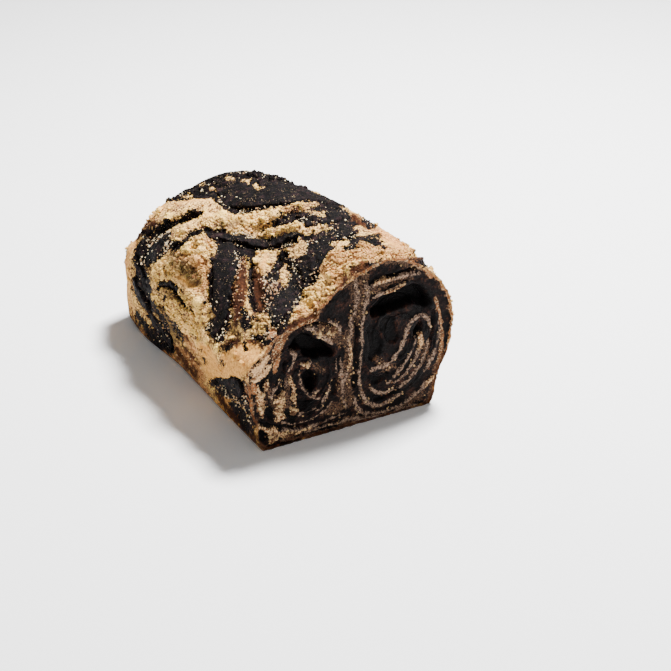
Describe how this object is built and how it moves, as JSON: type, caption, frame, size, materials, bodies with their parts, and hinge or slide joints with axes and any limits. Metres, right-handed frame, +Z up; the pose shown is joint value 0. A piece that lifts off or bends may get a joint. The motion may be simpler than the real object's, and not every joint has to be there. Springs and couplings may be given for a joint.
{
  "type": "chocolate babka",
  "caption": "Twisted pan loaf with chocolate coils at its cut end and chocolate swirls and baked crumbs on its domed crust.",
  "frame": {"origin": "on the base plane, on the loaf's long axis, midway between the cut end and the baked end", "axes": "+Z up, +Y along the loaf from the cut end to the baked end, +X toward the higher strand"},
  "size_m": [0.1339, 0.188, 0.0991],
  "materials": {
    "baked_dough": null,
    "rolled_chocolate": "moist dark chocolate filling",
    "swirl_chocolate": "dry baked chocolate"
  },
  "bodies": {
    "root": {"dough": "baked_dough", "filling_coil_left": "rolled_chocolate", "filling_coil_right": "rolled_chocolate", "swirl_top": "swirl_chocolate", "swirl_middle": "swirl_chocolate", "swirl_tongue": "swirl_chocolate", "swirl_cut_side": "swirl_chocolate", "swirl_left_patch": "swirl_chocolate", "swirl_left_wall": "swirl_chocolate", "swirl_left_thin": "swirl_chocolate", "swirl_cut_corner": "swirl_chocolate", "swirl_right_high": "swirl_chocolate", "swirl_right_low": "swirl_chocolate", "swirl_far_end": "swirl_chocolate"}
  },
  "joints": []
}
